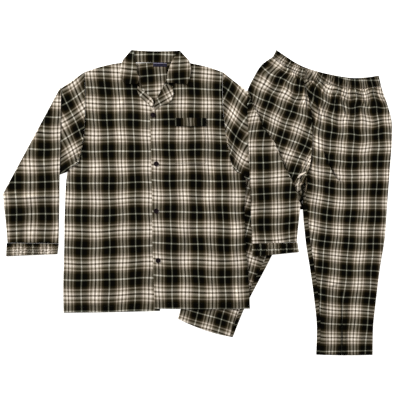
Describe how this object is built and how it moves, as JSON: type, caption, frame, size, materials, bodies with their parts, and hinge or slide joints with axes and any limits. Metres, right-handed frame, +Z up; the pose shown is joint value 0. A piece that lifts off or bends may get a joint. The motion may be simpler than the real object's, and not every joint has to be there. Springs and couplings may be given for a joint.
{
  "type": "pyjama set",
  "caption": "Plaid flannel pyjamas laid flat: a long-sleeved button-front jacket with a notched collar, lying partly over full-length trousers with a gathered elastic waist.",
  "frame": {"origin": "middle of the set's footprint, on the surface it lies on", "axes": "+X across the set towards the wearer's left, +Y from the hems to the collar, +Z up from the surface"},
  "size_m": [1.2464, 0.9781, 0.0149],
  "materials": {
    "flannel": "brushed cotton twill flannel, woven plaid of cream, taupe, brown-black and olive-black",
    "cuff_flannel": "the same brushed flannel, doubled and interlined",
    "waistband": "the same brushed flannel, gathered over elastic",
    "buttons": "moulded dark purple-brown resin, half gloss",
    "label": "plain dark navy woven satin tape"
  },
  "bodies": {
    "root": {"trouser_back_left": "flannel", "trouser_back_right": "flannel", "trouser_front_left": "flannel", "trouser_front_right": "flannel", "shirt_back": "flannel", "shirt_front_right": "flannel", "shirt_front_left": "flannel", "collar": "flannel", "lapel_right": "flannel", "lapel_left": "flannel", "sleeve_right": "flannel", "sleeve_left": "flannel", "pocket": "flannel", "pocket_band": "flannel", "cuff_right": "cuff_flannel", "cuff_left": "cuff_flannel", "waistband": "waistband", "button_1": "buttons", "button_2": "buttons", "button_3": "buttons", "button_4": "buttons", "neck_label": "label", "size_tab": "label"}
  },
  "joints": []
}
